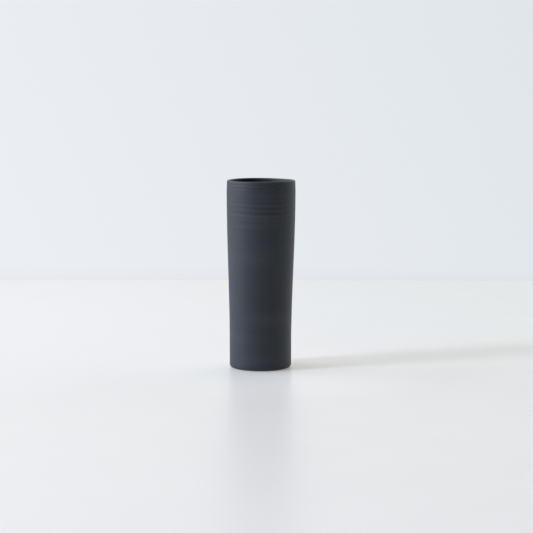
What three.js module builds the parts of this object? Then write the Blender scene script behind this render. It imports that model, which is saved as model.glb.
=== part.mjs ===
// A tall, slim stoneware flower vase: a matte black thrown body with a thin round lip, glazed inside.
//
// The body is a thrown tube, turned in at the foot to make a ledge. A clay floor disc drops on to
// the ledge with a stepped rim, a coil of clay is worked into the corner above the joint, and a
// poured glaze lines the inside up to just below the lip, so that the fired vase holds water.
//
// Millimetres, +Z up. The origin is the centre of the foot, on the surface that the vase stands on.

import * as THREE from "three";

// ---- Driving dimensions ----

const HEIGHT = 200;

// The outside: a straight lower stretch, a slow flare, and a slight closing in at the lip.
const LOWER_RADIUS = 32.9;
const UPPER_RADIUS = 36.45;
const FLARE_START = 26;
const FLARE_END = 188;
const LIP_CLOSING = 0.3;
const LIP_CLOSING_START = 188;

// The wall's thickness.
const WALL_AT_FOOT = 4.6;
const WALL_AT_LIP = 2.8;

// The foot: a softened outer edge, and a ring to stand on with a ledge on its inside.
const FOOT_EDGE_RADIUS = 3.6;
const FOOT_RING_INNER_RADIUS = 24.5;
const FOOT_RING_CHAMFER = 0.7;
const LEDGE_HEIGHT = 3.8;

// The floor disc: its narrow lower step fills the foot ring, and its wide upper step sits on the
// ledge. Its underside is raised, so that only the foot ring touches the table.
const FLOOR_UNDERSIDE = 1.6;
const FLOOR_TOP = 8.4;
const FLOOR_CHAMFER = 0.5;

// The luting coil: a fillet with a face pressed hollow by a finger, and blunt edges.
const COIL_HOLLOW_RADIUS = 5;
const COIL_EDGE = 0.5;

// The liner glaze: thin on the wall, pooled on the floor.
const GLAZE_THICKNESS = 0.6;
const GLAZE_BLEND = 6; // how far above the coil its face takes to join the wall
const GLAZE_TOP = 189;

// The slip line between two clay pieces, and between the clay and the glaze.
const SLIP_LINE = 0.3;

// ---- How finely the round shapes are cut ----

const SEGMENTS_ROUND = 64;
const WALL_STEPS = 12;
const LINING_STEPS = 8;
const LIP_STEPS = 8;
const FILLET_STEPS = 4;

// ---- The wall's shape ----

const { lerp, smoothstep } = THREE.MathUtils;

function wallThickness(height) {
  return lerp(WALL_AT_FOOT, WALL_AT_LIP, height / HEIGHT);
}

function outerRadius(height) {
  const flare = smoothstep(height, FLARE_START, FLARE_END);
  const closing = smoothstep(height, LIP_CLOSING_START, HEIGHT);
  return lerp(LOWER_RADIUS, UPPER_RADIUS, flare) - LIP_CLOSING * closing;
}

function innerRadius(height) {
  return outerRadius(height) - wallThickness(height);
}

// ---- Outlines ----
//
// An outline lies in the half plane beside the axis: x is the distance from the axis and y is
// the height. It runs anticlockwise, with the axis on its left, so that its faces point out.

function at(radius, height) {
  return new THREE.Vector2(radius, height);
}

// Evenly spaced numbers from one end to the other, both ends included.
function spaced(from, to, steps) {
  return Array.from({ length: steps + 1 }, (_, i) => lerp(from, to, i / steps));
}

// Points along part of a circle. Angle 0 points away from the axis, and a quarter turn points up.
function arc(centre, radius, fromAngle, toAngle, steps) {
  return spaced(fromAngle, toAngle, steps).map((angle) =>
    at(centre.x + radius * Math.cos(angle), centre.y + radius * Math.sin(angle)),
  );
}

// A body of revolution about +Z. An outline that doesn't end on the axis is closed on itself.
function turned(name, outline, material) {
  const endsOnAxis = outline.at(-1).x === 0;
  const closed = endsOnAxis ? outline : [...outline, outline[0]];
  const geometry = new THREE.LatheGeometry(closed, SEGMENTS_ROUND);
  geometry.rotateX(Math.PI / 2); // from a lathe's +Y axis to +Z
  const mesh = new THREE.Mesh(geometry, material);
  mesh.name = name;
  return mesh;
}

// ---- Materials ----

const blackStoneware = new THREE.MeshStandardMaterial({
  name: "black_stoneware",
  color: 0x2e333a,
  roughness: 0.56,
  metalness: 0,
});

const bareClay = new THREE.MeshStandardMaterial({
  name: "bare_clay",
  color: 0x34312f,
  roughness: 0.9,
  metalness: 0,
});

const linerGlaze = new THREE.MeshStandardMaterial({
  name: "liner_glaze",
  color: 0x1a1d21,
  roughness: 0.25,
  metalness: 0,
});

// ---- Where the floor, the coil and the glaze meet ----

const DISC_RADIUS = innerRadius(FLOOR_TOP) - SLIP_LINE;
const COIL_CORNER = at(DISC_RADIUS, FLOOR_TOP + SLIP_LINE);
const COIL_SIZE = COIL_HOLLOW_RADIUS + COIL_EDGE;
const COIL_TOP = COIL_CORNER.y + COIL_SIZE;
const HOLLOW_CENTRE = at(COIL_CORNER.x - COIL_SIZE, COIL_TOP);

// ---- Pieces ----

// The thrown tube: foot ring, softened foot edge, flared wall, half-round lip, inside and ledge.
function thrownWall() {
  const lipRadius = wallThickness(HEIGHT) / 2;
  const lipCentre = at(outerRadius(HEIGHT) - lipRadius, HEIGHT - lipRadius);
  const footEdgeCentre = at(LOWER_RADIUS - FOOT_EDGE_RADIUS, FOOT_EDGE_RADIUS);
  return turned(
    "thrown_wall",
    [
      at(FOOT_RING_INNER_RADIUS + FOOT_RING_CHAMFER, 0),
      ...arc(footEdgeCentre, FOOT_EDGE_RADIUS, -Math.PI / 2, 0, FILLET_STEPS),
      ...spaced(FLARE_START, LIP_CLOSING_START, WALL_STEPS).map((z) => at(outerRadius(z), z)),
      ...arc(lipCentre, lipRadius, 0, Math.PI, LIP_STEPS),
      ...spaced(GLAZE_TOP, FLOOR_TOP, LINING_STEPS).map((z) => at(innerRadius(z), z)),
      at(innerRadius(LEDGE_HEIGHT), LEDGE_HEIGHT),
      at(FOOT_RING_INNER_RADIUS, LEDGE_HEIGHT),
      at(FOOT_RING_INNER_RADIUS, FOOT_RING_CHAMFER),
    ],
    blackStoneware,
  );
}

// The disc that closes the foot. Its stepped rim laps the wall's ledge.
function floorDisc() {
  const stepRadius = FOOT_RING_INNER_RADIUS - SLIP_LINE;
  const stepHeight = LEDGE_HEIGHT + SLIP_LINE;
  return turned(
    "floor_disc",
    [
      at(0, FLOOR_UNDERSIDE),
      at(stepRadius - FLOOR_CHAMFER, FLOOR_UNDERSIDE),
      at(stepRadius, FLOOR_UNDERSIDE + FLOOR_CHAMFER),
      at(stepRadius, stepHeight),
      at(innerRadius(stepHeight) - SLIP_LINE, stepHeight),
      at(DISC_RADIUS, FLOOR_TOP),
      at(0, FLOOR_TOP),
    ],
    bareClay,
  );
}

// The coil worked into the corner over the joint between the wall and the floor disc.
function seamCoil() {
  return turned(
    "seam_coil",
    [
      at(HOLLOW_CENTRE.x, COIL_CORNER.y),
      COIL_CORNER,
      at(innerRadius(COIL_TOP) - SLIP_LINE, COIL_TOP),
      ...arc(HOLLOW_CENTRE, COIL_HOLLOW_RADIUS, 0, -Math.PI / 2, FILLET_STEPS),
    ],
    bareClay,
  );
}

// The glaze: a thin glass cup against the wall, over the coil and across the floor.
function liner() {
  const outside = (z) => innerRadius(z) - SLIP_LINE;
  const backRadius = COIL_HOLLOW_RADIUS - SLIP_LINE;
  const faceRadius = backRadius - GLAZE_THICKNESS;
  const overCoil = COIL_TOP + SLIP_LINE;
  const onWall = spaced(overCoil, GLAZE_TOP, LINING_STEPS).map((z) => at(outside(z), z));
  const face = spaced(GLAZE_TOP, COIL_TOP + GLAZE_BLEND, LINING_STEPS).map((z) =>
    at(outside(z) - GLAZE_THICKNESS, z),
  );
  const toe = at(HOLLOW_CENTRE.x - SLIP_LINE, COIL_CORNER.y);
  return turned(
    "liner_glaze",
    [
      at(0, toe.y),
      toe,
      at(toe.x, HOLLOW_CENTRE.y - backRadius),
      ...arc(HOLLOW_CENTRE, backRadius, -Math.PI / 2, 0, FILLET_STEPS),
      at(HOLLOW_CENTRE.x + backRadius, overCoil),
      ...onWall,
      ...face,
      ...arc(HOLLOW_CENTRE, faceRadius, 0, -Math.PI / 2, FILLET_STEPS),
      at(0, HOLLOW_CENTRE.y - faceRadius),
    ],
    linerGlaze,
  );
}

const vase = new THREE.Group();
vase.name = "stoneware_vase";
vase.add(thrownWall(), floorDisc(), seamCoil(), liner());

export default vase;
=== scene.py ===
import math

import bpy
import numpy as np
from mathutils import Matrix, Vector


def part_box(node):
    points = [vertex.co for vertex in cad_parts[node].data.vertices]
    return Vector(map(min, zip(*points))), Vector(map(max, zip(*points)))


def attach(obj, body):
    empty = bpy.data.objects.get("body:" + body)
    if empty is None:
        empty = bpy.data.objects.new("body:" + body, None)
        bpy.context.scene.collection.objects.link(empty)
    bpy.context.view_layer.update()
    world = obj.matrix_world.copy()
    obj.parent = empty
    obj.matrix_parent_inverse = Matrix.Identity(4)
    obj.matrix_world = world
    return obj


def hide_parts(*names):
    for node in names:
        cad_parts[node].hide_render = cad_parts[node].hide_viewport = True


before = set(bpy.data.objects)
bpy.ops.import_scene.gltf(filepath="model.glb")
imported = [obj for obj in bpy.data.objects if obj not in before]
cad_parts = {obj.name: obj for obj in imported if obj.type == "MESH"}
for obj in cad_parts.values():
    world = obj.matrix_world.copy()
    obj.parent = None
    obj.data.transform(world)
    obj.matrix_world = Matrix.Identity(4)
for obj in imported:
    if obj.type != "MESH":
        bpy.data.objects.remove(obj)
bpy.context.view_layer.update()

# The looks of a tall, slim stoneware vase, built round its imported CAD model, on a pale table.
#
# Everything is in metres, in the CAD model's frame: +Z is up, and the origin is the centre of
# the foot. Each CAD piece is replaced by a finely cut one of the same shape, with the marks of
# throwing, trimming and glazing in its surface.

MM = 0.001
TURN = 2 * math.pi

# ---- Sizes from the frame ----

_, WALL_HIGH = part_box("thrown_wall")
DISC_LOW, DISC_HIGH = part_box("floor_disc")
COIL_LOW, COIL_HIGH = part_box("seam_coil")
GLAZE_LOW, GLAZE_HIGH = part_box("liner_glaze")

HEIGHT = WALL_HIGH.z
UPPER_RADIUS = WALL_HIGH.x
FLOOR_UNDERSIDE = DISC_LOW.z
FLOOR_TOP = DISC_HIGH.z
COIL_BOTTOM = COIL_LOW.z
COIL_TOP = COIL_HIGH.z
GLAZE_BOTTOM = GLAZE_LOW.z
GLAZE_TOP = GLAZE_HIGH.z
SLIP_LINE = GLAZE_BOTTOM - FLOOR_TOP

# ---- Sizes of the CAD model that its boxes don't give ----

LOWER_RADIUS = 32.9 * MM
FLARE_START = 26 * MM
FLARE_END = 188 * MM
LIP_CLOSING = 0.3 * MM
LIP_CLOSING_START = 188 * MM
WALL_AT_FOOT = 4.6 * MM
WALL_AT_LIP = 2.8 * MM
FOOT_EDGE_RADIUS = 3.6 * MM
FOOT_RING_INNER_RADIUS = 24.5 * MM
FOOT_RING_CHAMFER = 0.7 * MM
LEDGE_HEIGHT = 3.8 * MM
FLOOR_EDGE = 0.5 * MM
COIL_EDGE = 0.5 * MM
GLAZE_THICKNESS = 0.6 * MM
GLAZE_BLEND = 6 * MM

# ---- The hand in the pot: small departures from a perfect turning ----

LEAN = 0.75 * MM  # how far the mouth's centre is from the foot's, towards +X

# The pot is out of round, and its lip waves, in a twofold and a weaker threefold part each.
OUT_OF_ROUND = 0.12 * MM
OUT_OF_ROUND_THREEFOLD = 0.4  # as a share of the twofold part
OUT_OF_ROUND_PHASE = 0.7
LIP_WAVE = 0.13 * MM
LIP_WAVE_THREEFOLD = 0.5
LIP_WAVE_PHASES = (2.1, 0.4)
LIP_WAVE_START = 0.55 * HEIGHT

# Throwing lines on the outside: distance below the lip, depth and width, in millimetres, and the
# side where each is deepest, in degrees round from the camera's side towards +X. A few narrow
# ones are close under the lip, and three wider ones lie where the fingers paused on the last pull.
THROWING_LINES = (
    (1.9, 0.10, 0.55, -20),
    (3.9, 0.09, 0.80, -20),
    (7.2, 0.09, 0.85, -20),
    (10.8, 0.04, 1.80, 20),
    (18.6, 0.03, 1.00, 60),
    (22.3, 0.080, 1.30, 5),
    (27.9, 0.066, 1.20, 5),
    (33.3, 0.095, 1.50, 5),
    (38.6, 0.05, 1.10, 150),
    (43.0, 0.05, 2.60, -60),
    (52.0, 0.04, 1.60, 110),
    (63.0, 0.05, 2.40, -150),
)
LINES_REACH = 66 * MM  # how far below the lip the outside is cut finely, for the lines
LINE_WANDER = 0.20 * MM  # how far a line drifts up and down on its way round
LINE_SHALLOWEST = 0.26  # a line's depth on its shallowest side, as a share of its deepest
LINE_FALL_OFF = 3  # how quickly a line gets shallower away from its deepest side
LINE_UNEVENNESS = 0.1
LINE_RIDGE_HEIGHT = 0.75  # the ridge under each groove: its height, as a share of the depth,
LINE_RIDGE_BELOW = 1.5  # and how far down it lies, in line widths
LIP_FADE = 1.2 * MM  # the marks outside fade out over this distance below the round of the lip,
FOOT_FADE = 3 * MM  # and over this distance above the foot's softened edge

# Soft swells up the wall, where the fingers pressed more or less.
SWELLS = 9
SWELL_SPACING = HEIGHT / 9.5
SWELL_FIRST = 0.6  # how far up the first one is, in spacings
SWELL_DEPTH = 0.05 * MM
SWELL_WIDTH = 8 * MM
SWELL_WANDER = 1.5 * MM

# Fine combing, from grit dragged round under the fingers.
COMBS = 70
COMB_LOWEST = 4 * MM
COMB_HIGHEST = HEIGHT - 3 * MM
COMB_WIDTHS = (0.5 * MM, 1.4 * MM)
COMB_DEPTHS = (0.004 * MM, 0.012 * MM)

# The spiral of shallow rings inside, which the glaze follows.
RING_DEPTH = 0.05 * MM
RING_PITCH = 5.5 * MM
RING_LIP_FADE = 5 * MM
RING_COIL_FADE = 8 * MM

# The spiral that a trimming tool leaves on the floor's underside.
TRIM_DEPTH = 0.06 * MM
TRIM_PITCH = 2.4 * MM
TRIM_CENTRE_FADE = (1 * MM, 3 * MM)  # the radii where it starts and is full
TRIM_RIM = 2 * MM  # how far in from the disc's step it begins to fade out

GLAZE_RUN = 0.9 * MM  # the glaze's upper edge runs down by up to twice this,
GLAZE_RUN_REACH = 16 * MM  # and takes the glaze this far below it along

SEGMENTS_ROUND = 192
BARE_REACH = 4 * MM  # how far below the glaze's nominal edge the wall's inside is cut finely
AXIS_RING = 0.6 * MM  # the radius of the last ring of points round the axis

rng = np.random.default_rng(7)


# ---- Shapes ----

def smoothstep(x, low, high):
    t = np.clip((x - low) / (high - low), 0, 1)
    return t * t * (3 - 2 * t)


def wall_thickness(z):
    return WALL_AT_FOOT + (WALL_AT_LIP - WALL_AT_FOOT) * z / HEIGHT


def outer_radius(z):
    flare = smoothstep(z, FLARE_START, FLARE_END)
    closing = smoothstep(z, LIP_CLOSING_START, HEIGHT)
    return LOWER_RADIUS + (UPPER_RADIUS - LOWER_RADIUS) * flare - LIP_CLOSING * closing


def inner_radius(z):
    return outer_radius(z) - wall_thickness(z)


def line(r0, z0, r1, z1, steps):
    """Points from one place in the half plane beside the axis to another, without the last."""
    t = np.arange(steps) / steps
    return np.column_stack((r0 + (r1 - r0) * t, z0 + (z1 - z0) * t))


def arc(r, z, radius, start, end, steps):
    """Points on part of a circle, both ends included. Angles are in turns: 0 points outwards."""
    a = TURN * np.linspace(start, end, steps + 1)
    return np.column_stack((r + radius * np.cos(a), z + radius * np.sin(a)))


def up_the_wall(radius, z0, z1, steps):
    """Points on a side of the wall from one height to another, without the last."""
    z = z0 + (z1 - z0) * np.arange(steps) / steps
    return np.column_stack((radius(z), z))


def wander(theta, orders=5):
    """A smooth function round the axis, between -1 and 1, that is different at each call."""
    total = np.zeros_like(theta)
    for order in range(1, orders + 1):
        total += rng.normal() / order * np.cos(order * theta + rng.uniform(0, TURN))
    usual_peak = 1.6
    return np.clip(total / usual_peak, -1, 1)


def bell(away):
    """1 at nothing away, falling smoothly to almost 0 at two widths away."""
    return np.exp(-(away**2))


def by_hand(x, y, z, theta):
    """The pot's lean, its slight ovalness and its lip's wave. All the pieces share it."""
    share = smoothstep(z, 0, HEIGHT)
    twofold = np.cos(2 * theta + OUT_OF_ROUND_PHASE)
    threefold = OUT_OF_ROUND_THREEFOLD * np.cos(3 * theta)
    oval = OUT_OF_ROUND * share * (twofold + threefold)

    twofold = np.cos(2 * theta + LIP_WAVE_PHASES[0])
    threefold = LIP_WAVE_THREEFOLD * np.cos(3 * theta + LIP_WAVE_PHASES[1])
    wave = LIP_WAVE * smoothstep(z, LIP_WAVE_START, HEIGHT) * (twofold + threefold)
    return (
        x + oval * np.cos(theta) + LEAN * share,
        y + oval * np.sin(theta),
        z + wave,
    )


def faces_round(rows, on_axis):
    """The faces of a turned body: bands between its rows of points, and a fan at each end."""
    i = np.arange(SEGMENTS_ROUND)
    after = (i + 1) % SEGMENTS_ROUND
    faces = []
    for j in range(rows - 1 if on_axis else rows):
        low, high = j * SEGMENTS_ROUND, ((j + 1) % rows) * SEGMENTS_ROUND
        faces += np.column_stack((low + i, low + after, high + after, high + i)).tolist()
    if on_axis:
        bottom = rows * SEGMENTS_ROUND
        top = bottom + 1
        last = (rows - 1) * SEGMENTS_ROUND
        faces += np.column_stack((np.full_like(i, bottom), after, i)).tolist()
        faces += np.column_stack((last + i, last + after, np.full_like(i, top))).tolist()
    return faces


def turned(name, outline, relief=None):
    """A closed body of revolution with a fine surface.

    The outline is anticlockwise in the half plane beside the axis. It closes on itself, unless
    it starts and ends on the axis. relief(theta, r, z) gives the surface's new r and z. On a body
    that closes on itself, how far it moves the surface outwards is kept on the mesh as "proud",
    in millimetres.
    """
    on_axis = outline[0][0] == 0
    rows = outline[1:-1] if on_axis else outline
    around = TURN * np.arange(SEGMENTS_ROUND) / SEGMENTS_ROUND
    theta = np.broadcast_to(around, (len(rows), SEGMENTS_ROUND))
    r = np.repeat(rows[:, :1], SEGMENTS_ROUND, axis=1)
    z = np.repeat(rows[:, 1:], SEGMENTS_ROUND, axis=1)
    plain_r = r
    if relief:
        r, z = relief(theta, r, z)
    x, y, z = by_hand(r * np.cos(theta), r * np.sin(theta), z, theta)
    vertices = np.column_stack((x.ravel(), y.ravel(), z.ravel()))
    if on_axis:
        ends = np.array([[0, 0, outline[0][1]], [0, 0, outline[-1][1]]])
        vertices = np.vstack((vertices, ends))

    mesh = bpy.data.meshes.new(name)
    mesh.from_pydata(vertices.tolist(), [], faces_round(len(rows), on_axis))
    mesh.polygons.foreach_set("use_smooth", np.ones(len(mesh.polygons), bool))
    if relief and not on_axis:
        proud = mesh.attributes.new("proud", "FLOAT", "POINT")
        proud.data.foreach_set("value", ((r - plain_r) / MM).ravel())
    mesh.update()
    piece = bpy.data.objects.new(name, mesh)
    bpy.context.scene.collection.objects.link(piece)
    return piece


# ---- Node helpers ----

# Nearly all of a noise texture's values lie between these.
NOISE_LOW = 0.3
NOISE_HIGH = 0.7


def new_material(name):
    """A material, its node tree, and its Principled shader, which is linked to the output."""
    material = bpy.data.materials.new(name)
    material.use_nodes = True
    tree = material.node_tree
    tree.nodes.clear()
    shader = tree.nodes.new("ShaderNodeBsdfPrincipled")
    output = tree.nodes.new("ShaderNodeOutputMaterial")
    tree.links.new(shader.outputs["BSDF"], output.inputs["Surface"])
    return material, tree, shader


def put(tree, socket, value):
    """Links a node's output to the socket, or sets a plain value on it."""
    if isinstance(value, bpy.types.NodeSocket):
        tree.links.new(value, socket)
    elif value is not None:
        socket.default_value = value


def vector_node(tree, operation, a, b=None, c=None):
    node = tree.nodes.new("ShaderNodeVectorMath")
    node.operation = operation
    for socket, value in zip(node.inputs, (a, b, c)):
        put(tree, socket, value)
    return node


def math_node(tree, operation, a, b, clamp=False):
    node = tree.nodes.new("ShaderNodeMath")
    node.operation = operation
    node.use_clamp = clamp
    put(tree, node.inputs[0], a)
    put(tree, node.inputs[1], b)
    return node.outputs[0]


def along(tree, vector, axis):
    """How far a vector reaches along an axis."""
    return vector_node(tree, "DOT_PRODUCT", vector, axis).outputs["Value"]


def distance(tree, vector, point):
    return vector_node(tree, "DISTANCE", vector, point).outputs["Value"]


def scaled(tree, vector, factors):
    return vector_node(tree, "MULTIPLY", vector, factors).outputs[0]


def noise(tree, vector, scale, detail=3.0, rough=0.5):
    node = tree.nodes.new("ShaderNodeTexNoise")
    put(tree, node.inputs["Vector"], vector)
    node.inputs["Scale"].default_value = scale
    node.inputs["Detail"].default_value = detail
    node.inputs["Roughness"].default_value = rough
    return node.outputs["Fac"]


def span(tree, value, from_low, from_high, to_low, to_high, smooth=False):
    """Maps a value from one range to another, and holds it at the ends."""
    node = tree.nodes.new("ShaderNodeMapRange")
    node.interpolation_type = "SMOOTHSTEP" if smooth else "LINEAR"
    for socket, given in zip(node.inputs, (value, from_low, from_high, to_low, to_high)):
        put(tree, socket, given)
    return node.outputs[0]


def spread(tree, texture, low, high):
    """A noise texture's values, spread over a range."""
    return span(tree, texture, NOISE_LOW, NOISE_HIGH, low, high)


def dots(tree, vector, scale, core, rim, strength=1.0):
    """Scattered round dots, full to their core and gone at their rim, in a grid of that scale."""
    node = tree.nodes.new("ShaderNodeTexVoronoi")
    put(tree, node.inputs["Vector"], vector)
    node.inputs["Scale"].default_value = scale
    return span(tree, node.outputs["Distance"], core, rim, strength, 0.0, smooth=True)


def mix(tree, share, a, b):
    """Colour a, with that share of colour b."""
    node = tree.nodes.new("ShaderNodeMix")
    node.data_type = "RGBA"
    put(tree, node.inputs["Factor"], share)
    for name, value in (("A", a), ("B", b)):
        socket = next(s for s in node.inputs if s.name == name and s.type == "RGBA")
        put(tree, socket, (*value, 1) if isinstance(value, tuple) else value)
    return next(s for s in node.outputs if s.type == "RGBA")


def clouded(tree, texture, a, b):
    """Colour a where the texture is low, and colour b where it is high."""
    return mix(tree, span(tree, texture, NOISE_LOW, NOISE_HIGH, 0.0, 1.0, smooth=True), a, b)


def tinted(tree, under, over, value, none_at, full_at, share, smooth=False):
    """One colour over another: none where the value is none_at, and the share at full_at."""
    return mix(tree, span(tree, value, none_at, full_at, 0.0, share, smooth), under, over)


def bump(tree, height, depth, strength, normal=None):
    node = tree.nodes.new("ShaderNodeBump")
    node.inputs["Distance"].default_value = depth
    node.inputs["Strength"].default_value = strength
    put(tree, node.inputs["Height"], height)
    put(tree, node.inputs["Normal"], normal)
    return node.outputs[0]


def place(tree):
    return tree.nodes.new("ShaderNodeTexCoord").outputs["Object"]


def height_of(tree, vector):
    node = tree.nodes.new("ShaderNodeSeparateXYZ")
    put(tree, node.inputs[0], vector)
    return node.outputs["Z"]


def proud_of(tree):
    """How far throwing left the surface proud of its plain shape, in millimetres."""
    node = tree.nodes.new("ShaderNodeAttribute")
    node.attribute_name = "proud"
    return node.outputs["Fac"]


def faces_axis(tree, at, strength):
    """The strength where the surface faces the vase's axis, and 0 where it faces away from it."""
    outwards = vector_node(tree, "NORMALIZE", scaled(tree, at, (1.0, 1.0, 0.0))).outputs[0]
    normal = tree.nodes.new("ShaderNodeTexCoord").outputs["Normal"]
    squarely, barely = -0.9, -0.4
    facing = along(tree, normal, outwards)
    return span(tree, facing, squarely, barely, strength, 0.0, smooth=True)


# ---- Black stoneware ----

STONEWARE_DARK = (0.0243, 0.0303, 0.0404)
STONEWARE_PALE = (0.0276, 0.0346, 0.0458)
STONEWARE_GRAIN = (0.0190, 0.0230, 0.0290)
STONEWARE_COMBED = (0.0380, 0.0450, 0.0550)
STONEWARE_HOLLOW_SHADE = (0.0180, 0.0220, 0.0275)
STONEWARE_RIDGE_HIGHLIGHT = (0.0470, 0.0525, 0.0625)
STONEWARE_SPECK = (0.0560, 0.0590, 0.0640)
# Painted light: the wall's inside, where it faces the axis, is made paler, standing in for light that
# reaches it.
STONEWARE_INSIDE_LIT = (0.0620, 0.0690, 0.0810)
STONEWARE_WEAR_AND_HIGHLIGHT = (0.0760, 0.0840, 0.0960)
HOLLOW_SHADE_FULL = -0.10  # painted shade: how proud the surface is, in millimetres, where a hollow is darkest
RIDGE_HIGHLIGHT_FULL = 0.07  # and the painted highlight: where a ridge is palest
COMBING_SCALE = (22, 22, 1500)  # close together up the pot, and drawn out round it
STONEWARE_ROUGHNESS = (0.50, 0.62)
COMBING_ROUGHNESS = (-0.04, 0.04)  # what the combing adds to it

# The lip is paler partly from wear and partly as a painted highlight where its round catches the
# light; the foot is paler from wear.
LIP_WEAR_AND_HIGHLIGHT = 0.7
LIP_WEAR_AND_HIGHLIGHT_FROM = HEIGHT - 2.2 * MM
LIP_WEAR_AND_HIGHLIGHT_FULL = HEIGHT - 0.3 * MM
FOOT_WEAR = 0.35
FOOT_WEAR_FULL = 0.4 * MM
FOOT_WEAR_TO = 2.4 * MM


def stoneware_colour(tree, at, grain, combing):
    """Clouded charcoal with a darker grain, paler combing and specks, throwing lines with painted
    shade in their hollows and a painted highlight on their ridges, and painted light on the inside.
    """
    proud = proud_of(tree)
    clay = clouded(tree, noise(tree, at, scale=26), STONEWARE_DARK, STONEWARE_PALE)
    clay = tinted(tree, clay, STONEWARE_GRAIN, grain, none_at=0.35, full_at=0.7, share=0.45)
    clay = tinted(tree, clay, STONEWARE_COMBED, combing, none_at=0.35, full_at=0.65, share=0.22)
    # Painted shade in the throwing lines' hollows, and a painted highlight on their ridges.
    clay = tinted(tree, clay, STONEWARE_HOLLOW_SHADE, proud, none_at=0.0, full_at=HOLLOW_SHADE_FULL, share=0.45)
    clay = tinted(tree, clay, STONEWARE_RIDGE_HIGHLIGHT, proud, none_at=0.0, full_at=RIDGE_HIGHLIGHT_FULL, share=0.65)
    specks = dots(tree, at, scale=420, core=0.10, rim=0.22, strength=0.35)
    clay = mix(tree, specks, clay, STONEWARE_SPECK)
    # Painted light: paler where the wall faces the axis, inside the mouth.
    return mix(tree, faces_axis(tree, at, strength=0.75), clay, STONEWARE_INSIDE_LIT)


def stoneware_wear_and_highlight(tree, at, grain):
    """How worn the clay is, with a painted highlight on the lip too: most on the lip, less at the
    foot, and patchy with the grain.
    """
    z = height_of(tree, at)
    lip = span(tree, z, LIP_WEAR_AND_HIGHLIGHT_FROM, LIP_WEAR_AND_HIGHLIGHT_FULL, 0.0, LIP_WEAR_AND_HIGHLIGHT, smooth=True)
    foot = span(tree, z, FOOT_WEAR_FULL, FOOT_WEAR_TO, FOOT_WEAR, 0.0, smooth=True)
    grainy = span(tree, grain, NOISE_LOW, 0.6, 0.5, 1.0)
    return math_node(tree, "MULTIPLY", math_node(tree, "ADD", lip, foot), grainy)


def black_stoneware():
    """Matte, bluish charcoal: fine grain, faint combing round the pot, a worn lip and foot, and a
    painted highlight on the lip.
    """
    material, tree, shader = new_material("black_stoneware")
    at = place(tree)
    grain = noise(tree, at, scale=1500, rough=0.6)
    tooth = noise(tree, at, scale=520, rough=0.6)
    combing = noise(tree, scaled(tree, at, COMBING_SCALE), scale=1.0, rough=0.6)

    colour = stoneware_colour(tree, at, grain, combing)
    # Wear on the lip and foot, and a painted highlight on the lip.
    worn_and_lit = mix(tree, stoneware_wear_and_highlight(tree, at, grain), colour, STONEWARE_WEAR_AND_HIGHLIGHT)
    put(tree, shader.inputs["Base Color"], worn_and_lit)

    roughness = math_node(tree, "ADD", spread(tree, grain, *STONEWARE_ROUGHNESS),
                          spread(tree, combing, *COMBING_ROUGHNESS))
    put(tree, shader.inputs["Roughness"], roughness)

    normal = bump(tree, grain, depth=0.05 * MM, strength=0.8)
    normal = bump(tree, tooth, depth=0.05 * MM, strength=0.6, normal=normal)
    normal = bump(tree, combing, depth=0.04 * MM, strength=0.7, normal=normal)
    put(tree, shader.inputs["Normal"], normal)
    return material


# ---- Bare clay ----

CLAY_DARK = (0.030, 0.028, 0.027)
CLAY_PALE = (0.043, 0.039, 0.036)
CLAY_GRIT = (0.020, 0.018, 0.018)
CLAY_GROG = (0.110, 0.100, 0.090)
CLAY_ROUGHNESS = (0.82, 0.95)


def bare_clay():
    """Raw fired clay: dry, gritty and browner than the wall, with pale bits of grog in it."""
    material, tree, shader = new_material("bare_clay")
    at = place(tree)
    grit = noise(tree, at, scale=1100, detail=4.0, rough=0.65)
    clay = clouded(tree, noise(tree, at, scale=45), CLAY_DARK, CLAY_PALE)
    clay = tinted(tree, clay, CLAY_GRIT, grit, none_at=0.35, full_at=0.7, share=0.6)
    grog = dots(tree, at, scale=520, core=0.10, rim=0.24, strength=0.45)
    put(tree, shader.inputs["Base Color"], mix(tree, grog, clay, CLAY_GROG))
    put(tree, shader.inputs["Roughness"], spread(tree, grit, *CLAY_ROUGHNESS))
    put(tree, shader.inputs["Normal"], bump(tree, grit, depth=0.06 * MM, strength=0.8))
    return material


# ---- Liner glaze ----

GLAZE_DARK = (0.0130, 0.0145, 0.0180)
GLAZE_PALE = (0.0210, 0.0235, 0.0290)
GLAZE_RUST = (0.034, 0.024, 0.018)
GLAZE_THIN_REACH = 3.0 * MM  # how far below its upper edge the glaze is thin
STREAKS_SCALE = (130, 130, 14)  # close together round the pot, and drawn out down it
GLAZE_ROUGHNESS = (0.20, 0.30)
GLAZE_THIN_ROUGHNESS = 0.25  # what being thin adds to it
GLAZE_IOR = 1.52


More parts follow.
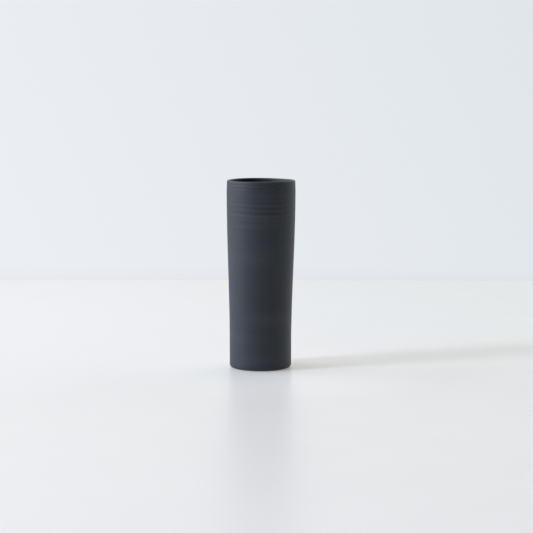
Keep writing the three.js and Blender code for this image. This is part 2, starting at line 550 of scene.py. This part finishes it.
def liner_glaze():
    """Satin black glaze: rusty where it thins at its upper edge, with a soft orange-peel surface."""
    material, tree, shader = new_material("liner_glaze")
    at = place(tree)
    z = height_of(tree, at)
    peel = noise(tree, at, scale=260, detail=2.0)
    streaks = noise(tree, scaled(tree, at, STREAKS_SCALE), scale=1.0)

    at_edge = span(tree, z, GLAZE_TOP - GLAZE_THIN_REACH, GLAZE_TOP, 0.0, 0.8, smooth=True)
    in_streaks = span(tree, streaks, 0.55, 0.8, 0.0, 0.25)
    thin = math_node(tree, "ADD", at_edge, in_streaks, clamp=True)
    glass = clouded(tree, streaks, GLAZE_DARK, GLAZE_PALE)
    put(tree, shader.inputs["Base Color"], mix(tree, thin, glass, GLAZE_RUST))

    drier = math_node(tree, "MULTIPLY", thin, GLAZE_THIN_ROUGHNESS)
    roughness = math_node(tree, "ADD", spread(tree, peel, *GLAZE_ROUGHNESS), drier)
    put(tree, shader.inputs["Roughness"], roughness)

    pits = dots(tree, at, scale=300, core=0.05, rim=0.12)
    normal = bump(tree, pits, depth=-0.04 * MM, strength=0.6)
    normal = bump(tree, peel, depth=0.08 * MM, strength=0.5, normal=normal)
    put(tree, shader.inputs["Normal"], normal)
    shader.inputs["IOR"].default_value = GLAZE_IOR
    return material


# ---- Pieces ----

def throwing_lines(theta, z):
    """How far the throwing lines leave the outside proud of its plain shape."""
    proud = np.zeros_like(z)
    for below_lip, depth, width, bearing in THROWING_LINES:
        centre = HEIGHT - below_lip * MM + LINE_WANDER * wander(theta)
        facing = 0.5 + 0.5 * np.cos(theta - math.radians(bearing - 90))
        strength = LINE_SHALLOWEST + (1 - LINE_SHALLOWEST) * facing**LINE_FALL_OFF
        strength += LINE_UNEVENNESS * wander(theta, 4)
        away = (z - centre) / (width * MM)
        ridge = LINE_RIDGE_HEIGHT * bell(away + LINE_RIDGE_BELOW)
        proud += depth * MM * strength * (ridge - bell(away))
    return proud


def swells(theta, z):
    """How far the soft swells leave the outside proud of its plain shape."""
    proud = np.zeros_like(z)
    for swell in range(SWELLS):
        centre = (swell + SWELL_FIRST) * SWELL_SPACING + SWELL_WANDER * wander(theta, 2)
        proud += SWELL_DEPTH * wander(theta, 3) * bell((z - centre) / SWELL_WIDTH)
    return proud


def combing_marks(theta, z):
    """The same for the combing, which only cuts in, so that it is nowhere above 0."""
    proud = np.zeros_like(z)
    for _ in range(COMBS):
        centre = rng.uniform(COMB_LOWEST, COMB_HIGHEST) + LINE_WANDER * wander(theta)
        width = rng.uniform(*COMB_WIDTHS)
        depth = rng.uniform(*COMB_DEPTHS) * (0.5 + 0.5 * wander(theta, 3))
        proud -= depth * bell((z - centre) / width)
    return proud


def inside_rings(theta, z):
    return RING_DEPTH * np.cos(TURN * (z / RING_PITCH + theta / TURN))


def wall_outline():
    """The wall's outline, in stretches: foot, outside, lip, inside, and the seat of the disc."""
    lip = wall_thickness(HEIGHT) / 2
    lip_r, lip_z = outer_radius(HEIGHT) - lip, HEIGHT - lip
    ring_r, foot_r = FOOT_RING_INNER_RADIUS, LOWER_RADIUS - FOOT_EDGE_RADIUS
    chamfer_r = ring_r + FOOT_RING_CHAMFER
    lines_from = HEIGHT - LINES_REACH
    bare_end = GLAZE_TOP - BARE_REACH
    foot = np.vstack((
        line(chamfer_r, 0, foot_r, 0, steps=10),
        arc(foot_r, FOOT_EDGE_RADIUS, FOOT_EDGE_RADIUS, -0.25, 0, steps=10)[:-1],
    ))
    outside = np.vstack((
        up_the_wall(outer_radius, FOOT_EDGE_RADIUS, lines_from, steps=124),
        up_the_wall(outer_radius, lines_from, lip_z, steps=160),
    ))
    crown = arc(lip_r, lip_z, lip, 0, 0.5, steps=20)[:-1]
    inside = np.vstack((
        up_the_wall(inner_radius, lip_z, bare_end, steps=24),
        up_the_wall(inner_radius, bare_end, LEDGE_HEIGHT, steps=60),
    ))
    seat = np.vstack((
        line(inner_radius(LEDGE_HEIGHT), LEDGE_HEIGHT, ring_r, LEDGE_HEIGHT, steps=4),
        line(ring_r, LEDGE_HEIGHT, ring_r, FOOT_RING_CHAMFER, steps=4),
        line(ring_r, FOOT_RING_CHAMFER, chamfer_r, 0, steps=2),
    ))
    return foot, outside, crown, inside, seat


def thrown_wall():
    stretches = wall_outline()
    starts = np.cumsum([0] + [len(stretch) for stretch in stretches])
    outside, inside = slice(starts[1], starts[2]), slice(starts[3], starts[4])
    lip_z = HEIGHT - wall_thickness(HEIGHT) / 2

    def relief(theta, r, z):
        r = r.copy()
        t, h = theta[outside], z[outside]
        fade = smoothstep(h, FOOT_EDGE_RADIUS, FOOT_EDGE_RADIUS + FOOT_FADE)
        fade = fade * smoothstep(h, lip_z, lip_z - LIP_FADE)
        r[outside] += fade * (throwing_lines(t, h) + swells(t, h) + combing_marks(t, h))

        t, h = theta[inside], z[inside]
        fade = smoothstep(h, COIL_TOP, COIL_TOP + RING_COIL_FADE)
        fade = fade * smoothstep(h, lip_z, lip_z - RING_LIP_FADE)
        r[inside] += fade * inside_rings(t, h)
        return r, z

    return turned("thrown_wall_fired", np.vstack(stretches), relief)


def floor_disc():
    step_r = FOOT_RING_INNER_RADIUS - SLIP_LINE
    step_z = LEDGE_HEIGHT + SLIP_LINE
    rim_r = inner_radius(step_z) - SLIP_LINE
    edge_r = step_r - FLOOR_EDGE
    edge_z = FLOOR_UNDERSIDE + FLOOR_EDGE
    outline = np.vstack((
        [[0, FLOOR_UNDERSIDE]],
        line(AXIS_RING, FLOOR_UNDERSIDE, edge_r, FLOOR_UNDERSIDE, steps=70),
        arc(edge_r, edge_z, FLOOR_EDGE, -0.25, 0, steps=5)[:-1],
        line(step_r, edge_z, step_r, step_z, steps=4),
        line(step_r, step_z, rim_r, step_z, steps=4),
        line(rim_r, step_z, rim_r, FLOOR_TOP, steps=4),
        line(rim_r, FLOOR_TOP, AXIS_RING, FLOOR_TOP, steps=12),
        [[0, FLOOR_TOP]],
    ))

    def relief(theta, r, z):
        """The trimming spiral, on the underside only. It fades out at the centre and the edge."""
        turns = r / TRIM_PITCH + theta / TURN
        underside = np.isclose(z, FLOOR_UNDERSIDE, rtol=0, atol=0.001 * MM)
        fade = smoothstep(r, *TRIM_CENTRE_FADE) * smoothstep(r, edge_r, step_r - TRIM_RIM)
        cut = TRIM_DEPTH * (1 + np.cos(TURN * turns)) / 2
        return r, z + underside * fade * cut

    return turned("floor_disc_fired", outline, relief)


def coil_hollow():
    """The centre and the radius of the coil's hollow face."""
    reach = COIL_TOP - COIL_BOTTOM
    return inner_radius(FLOOR_TOP) - SLIP_LINE - reach, COIL_TOP, reach - COIL_EDGE


def seam_coil():
    centre_r, centre_z, hollow = coil_hollow()
    corner_r = inner_radius(FLOOR_TOP) - SLIP_LINE
    top_r = inner_radius(COIL_TOP) - SLIP_LINE
    outline = np.vstack((
        line(centre_r, COIL_BOTTOM, corner_r, COIL_BOTTOM, steps=6),
        line(corner_r, COIL_BOTTOM, top_r, COIL_TOP, steps=6),
        [[top_r, COIL_TOP]],
        arc(centre_r, centre_z, hollow, 0, -0.25, steps=12),
    ))
    return turned("seam_coil_fired", outline)


def against_wall(z):
    return inner_radius(z) - SLIP_LINE


def glazed_face(z):
    return against_wall(z) - GLAZE_THICKNESS


def liner_outline():
    """The glaze's outline: across the floor, over the coil, up the wall, and back down its face."""
    centre_r, centre_z, hollow = coil_hollow()
    back, face = hollow - SLIP_LINE, hollow - SLIP_LINE - GLAZE_THICKNESS
    over_coil = COIL_TOP + SLIP_LINE
    toe_r = centre_r - SLIP_LINE
    bead = GLAZE_THICKNESS / 2
    bead_z = GLAZE_TOP - bead
    bead_r = against_wall(bead_z) - bead
    blend = COIL_TOP + GLAZE_BLEND
    floor_r, floor_z = centre_r - 0.2 * MM, centre_z - face  # just past the end of the last arc
    return np.vstack((
        [[0, GLAZE_BOTTOM]],
        line(AXIS_RING, GLAZE_BOTTOM, toe_r, GLAZE_BOTTOM, steps=8),
        line(toe_r, GLAZE_BOTTOM, toe_r, centre_z - back, steps=2),
        [[toe_r, centre_z - back]],
        arc(centre_r, centre_z, back, -0.25, 0, steps=8),
        [[centre_r + back, over_coil]],
        up_the_wall(against_wall, over_coil, bead_z, steps=40),
        arc(bead_r, bead_z, bead, 0, 0.5, steps=8)[:-1],
        up_the_wall(glazed_face, bead_z, blend, steps=150),
        line(glazed_face(blend), blend, centre_r + face, centre_z, steps=8),
        arc(centre_r, centre_z, face, 0, -0.25, steps=16),
        line(floor_r, floor_z, AXIS_RING, floor_z, steps=24),
        [[0, floor_z]],
    ))


def liner():
    def relief(theta, r, z):
        """The glaze's edge runs up and down a little, and its face follows the throwing rings."""
        near_top = smoothstep(z, GLAZE_TOP - GLAZE_RUN_REACH, GLAZE_TOP)
        edge = -GLAZE_RUN * (1 + wander(theta, 6)) * near_top
        fade = smoothstep(z, COIL_TOP + GLAZE_BLEND, COIL_TOP + 2 * GLAZE_BLEND)
        return r + fade * (1 - near_top) * inside_rings(theta, z), z + edge

    return turned("liner_glaze_fired", liner_outline(), relief)


def build_pieces():
    clay, wall_clay, glaze = bare_clay(), black_stoneware(), liner_glaze()
    for make, node, slot, material in (
        (thrown_wall, "thrown_wall", "black_stoneware", wall_clay),
        (floor_disc, "floor_disc", "bare_clay", clay),
        (seam_coil, "seam_coil", "bare_clay", clay),
        (liner, "liner_glaze", "liner_glaze", glaze),
    ):
        piece = make()
        piece.data.materials.append(material)
        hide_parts(node)
        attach(piece, "root")


# ---- The table ----

TABLE_BACK = 0.775  # the table ends this far behind the vase, and a pale wall is beyond it
TABLE_SKEW = 0.03  # how much nearer its far edge is for each metre to the right
TABLE_REACH = 6.0

# Its colour: a tint for each quarter, which blend into each other, and soft clouds of paint all over.
# The quarter tints are painted light, darker to the right, away from the window.
TABLE_FAR_LEFT = (0.797, 0.778, 0.795)
TABLE_FAR_RIGHT = (0.669, 0.697, 0.697)
TABLE_NEAR_LEFT = (0.753, 0.727, 0.715)
TABLE_NEAR_RIGHT = (0.662, 0.652, 0.652)
TABLE_LEFT_TO_RIGHT = (-0.45, 0.45)
TABLE_NEAR_TO_FAR = (-0.35, 0.50)
TABLE_CLOUDS = (0.745, 0.735, 0.730)
TABLE_CLOUDS_SHARE = 0.2

# Painted light: it is a little paler round the vase, which lightens the vase's shadow and reflection
# on it. Painted shade: it is a little darker along its far edge.
TABLE_LIGHT_POOL = (0.850, 0.868, 0.858)
TABLE_LIGHT_POOL_AT = (0.02, -0.04, 0.0)
TABLE_LIGHT_POOL_SHARE = 0.45
TABLE_LIGHT_POOL_FULL = 0.04  # how far from there it is palest, and how far the paleness reaches
TABLE_LIGHT_POOL_REACH = 0.19
TABLE_EDGE_SHADE = (0.670, 0.675, 0.675)
TABLE_EDGE_SHADE_SHARE = 0.4
TABLE_EDGE_SHADE_WIDTH = 0.045

TABLE_ROUGHNESS = (0.31, 0.35)
TABLE_SPECULAR = 0.11
TABLE_GLOW = 0.17  # a little light of its own, which softens shadows and reflections on it
TABLE_GLOW_TINT = (1.0, 0.99, 0.95, 1.0)


def table_paint_and_light(tree, at):
    right = along(tree, at, (1.0, 0.0, 0.0))
    back = along(tree, at, (0.0, 1.0, 0.0))
    # Painted light: the quarter tints make the table darker to the right, away from the window.
    to_right = span(tree, right, *TABLE_LEFT_TO_RIGHT, 0.0, 1.0, smooth=True)
    to_far = span(tree, back, *TABLE_NEAR_TO_FAR, 0.0, 1.0, smooth=True)
    near = mix(tree, to_right, TABLE_NEAR_LEFT, TABLE_NEAR_RIGHT)
    far = mix(tree, to_right, TABLE_FAR_LEFT, TABLE_FAR_RIGHT)
    paint_and_light = mix(tree, to_far, near, far)

    clouds = noise(tree, at, scale=3.0, detail=2.0)
    paint_and_light = mix(tree, spread(tree, clouds, 0.0, TABLE_CLOUDS_SHARE), paint_and_light, TABLE_CLOUDS)
    # Painted light round the vase, which lightens its shadow and reflection on the table.
    from_vase = distance(tree, at, TABLE_LIGHT_POOL_AT)
    light_pool = span(tree, from_vase, TABLE_LIGHT_POOL_FULL, TABLE_LIGHT_POOL_REACH, TABLE_LIGHT_POOL_SHARE, 0.0, smooth=True)
    paint_and_light = mix(tree, light_pool, paint_and_light, TABLE_LIGHT_POOL)
    # Painted shade along the far edge, where the table meets the wall.
    to_edge = along(tree, at, (TABLE_SKEW, 1.0, 0.0))
    return tinted(tree, paint_and_light, TABLE_EDGE_SHADE, to_edge, none_at=TABLE_BACK - TABLE_EDGE_SHADE_WIDTH,
                  full_at=TABLE_BACK, share=TABLE_EDGE_SHADE_SHARE, smooth=True)


def satin_paint():
    material, tree, shader = new_material("table_top")
    at = place(tree)
    put(tree, shader.inputs["Base Color"], table_paint_and_light(tree, at))
    put(tree, shader.inputs["Roughness"], spread(tree, noise(tree, at, scale=14.0), *TABLE_ROUGHNESS))
    shader.inputs["Specular IOR Level"].default_value = TABLE_SPECULAR
    shader.inputs["Emission Color"].default_value = TABLE_GLOW_TINT
    shader.inputs["Emission Strength"].default_value = TABLE_GLOW
    return material


def table():
    skew = TABLE_SKEW * TABLE_REACH
    corners = (
        (-TABLE_REACH, -TABLE_REACH, 0),
        (TABLE_REACH, -TABLE_REACH, 0),
        (TABLE_REACH, TABLE_BACK - skew, 0),
        (-TABLE_REACH, TABLE_BACK + skew, 0),
    )
    mesh = bpy.data.meshes.new("table_top")
    mesh.from_pydata(corners, [], [(0, 1, 2, 3)])
    mesh.materials.append(satin_paint())
    top = bpy.data.objects.new("table_top", mesh)
    bpy.context.scene.collection.objects.link(top)


# ---- Light and the camera ----

KEY_AZIMUTH = -69.0  # degrees round from the camera's side; negative is to the left
KEY_ELEVATION = 27.0
KEY_DISTANCE = 3.0
KEY_WIDTH = 0.62
KEY_POWER = 43.5
KEY_TINT = (0.92, 1.0, 1.17)

# Soft light from the room: azimuth, elevation, how narrow it is, its strength and its tint.
COOL = (0.91, 1.005, 1.16)
EVEN = (0.985, 1.0, 1.035)
WARM = (1.01, 1.0, 0.95)
ROOM_LIGHTS = (
    (-105, 20, 10.0, 3.48, COOL),
    (128, 20, 7.0, 1.43, EVEN),
    (180, 20, 4.0, 1.02, WARM),
    (0, 90, 8.0, 0.80, WARM),
)

# The pale wall behind, brightest at the lower left, which is painted light. Looks only: it gives no
# light.
WALL_LEFT = (0.830, 0.857, 0.895)
WALL_RIGHT = (0.750, 0.788, 0.818)
WALL_DARKENS_TOWARDS = (1.0, 0.0, 0.45)
WALL_SPREAD = 0.18  # how far to each side of the middle its colour changes
WALL_FOOT_SHADE = 0.965  # painted shadow: a soft dark line at its foot
WALL_FOOT_DOWN = 6.83  # degrees below the horizon, seen from the camera
WALL_FOOT_SOFTNESS = 0.008
WALL_FOOT_TILT = 0.0038  # how much further down it goes for each unit to the right

CAMERA_PLACE = (0.0065, -1.798, 0.310)
CAMERA_DOWN = 6.417  # degrees below the horizon
CAMERA_LENS = 114.8
CAMERA_SENSOR = 36.0


def direction(azimuth, elevation):
    """A unit vector. Azimuth 0 points at the camera's side, -Y, and 90 points along +X."""
    a, e = math.radians(azimuth), math.radians(elevation)
    return (math.sin(a) * math.cos(e), -math.cos(a) * math.cos(e), math.sin(e))


def key_light():
    """The window: a square lamp to the left, which faces the foot of the vase."""
    lamp = bpy.data.lights.new("window", "AREA")
    lamp.shape = "RECTANGLE"
    lamp.size = KEY_WIDTH
    lamp.size_y = KEY_WIDTH
    lamp.energy = KEY_POWER
    lamp.color = KEY_TINT
    window = bpy.data.objects.new("window", lamp)
    outwards = direction(KEY_AZIMUTH, KEY_ELEVATION)
    window.location = [KEY_DISTANCE * c for c in outwards]
    window.rotation_mode = "QUATERNION"
    window.rotation_quaternion = Vector(outwards).to_track_quat("Z", "Y")
    window.visible_camera = False
    bpy.context.scene.collection.objects.link(window)


def room_light(tree, toward):
    """A background that lights the scene with the room's soft lights."""
    total = (0.0, 0.0, 0.0)
    for azimuth, elevation, narrow, strength, tint in ROOM_LIGHTS:
        facing = math_node(tree, "MAXIMUM", along(tree, toward, direction(azimuth, elevation)), 0.0)
        lobe = math_node(tree, "POWER", facing, narrow)
        colour = [strength * share for share in tint]
        total = vector_node(tree, "MULTIPLY_ADD", lobe, colour, total).outputs[0]
    light = tree.nodes.new("ShaderNodeBackground")
    put(tree, light.inputs["Color"], total)
    return light


def seen_wall(tree, toward):
    """A background that looks like the pale wall."""
    across = along(tree, toward, WALL_DARKENS_TOWARDS)
    to_right = span(tree, across, -WALL_SPREAD, WALL_SPREAD, 0.0, 1.0)
    foot = math.sin(math.radians(-WALL_FOOT_DOWN))
    up = along(tree, toward, (WALL_FOOT_TILT, 0.0, 1.0))
    shade = span(tree, up, foot, foot + WALL_FOOT_SOFTNESS, WALL_FOOT_SHADE, 1.0, smooth=True)
    seen = tree.nodes.new("ShaderNodeBackground")
    put(tree, seen.inputs["Color"], mix(tree, to_right, WALL_LEFT, WALL_RIGHT))
    put(tree, seen.inputs["Strength"], shade)
    return seen


def room():
    """The room's soft light, and the pale wall, which only the camera sees."""
    world = bpy.data.worlds.new("room")
    world.use_nodes = True
    tree = world.node_tree
    tree.nodes.clear()
    toward = tree.nodes.new("ShaderNodeTexCoord").outputs["Generated"]
    path = tree.nodes.new("ShaderNodeLightPath")
    either = tree.nodes.new("ShaderNodeMixShader")
    output = tree.nodes.new("ShaderNodeOutputWorld")
    tree.links.new(path.outputs["Is Camera Ray"], either.inputs["Fac"])
    tree.links.new(room_light(tree, toward).outputs[0], either.inputs[1])
    tree.links.new(seen_wall(tree, toward).outputs[0], either.inputs[2])
    tree.links.new(either.outputs[0], output.inputs["Surface"])
    bpy.context.scene.world = world


def camera():
    data = bpy.data.cameras.new("camera")
    data.sensor_width = CAMERA_SENSOR
    data.lens = CAMERA_LENS
    seen_from = bpy.data.objects.new("camera", data)
    seen_from.location = CAMERA_PLACE
    seen_from.rotation_euler = (math.radians(90 - CAMERA_DOWN), 0, 0)
    bpy.context.scene.collection.objects.link(seen_from)
    bpy.context.scene.camera = seen_from


build_pieces()
table()
key_light()
room()
camera()
bpy.context.scene.view_settings.view_transform = "Standard"
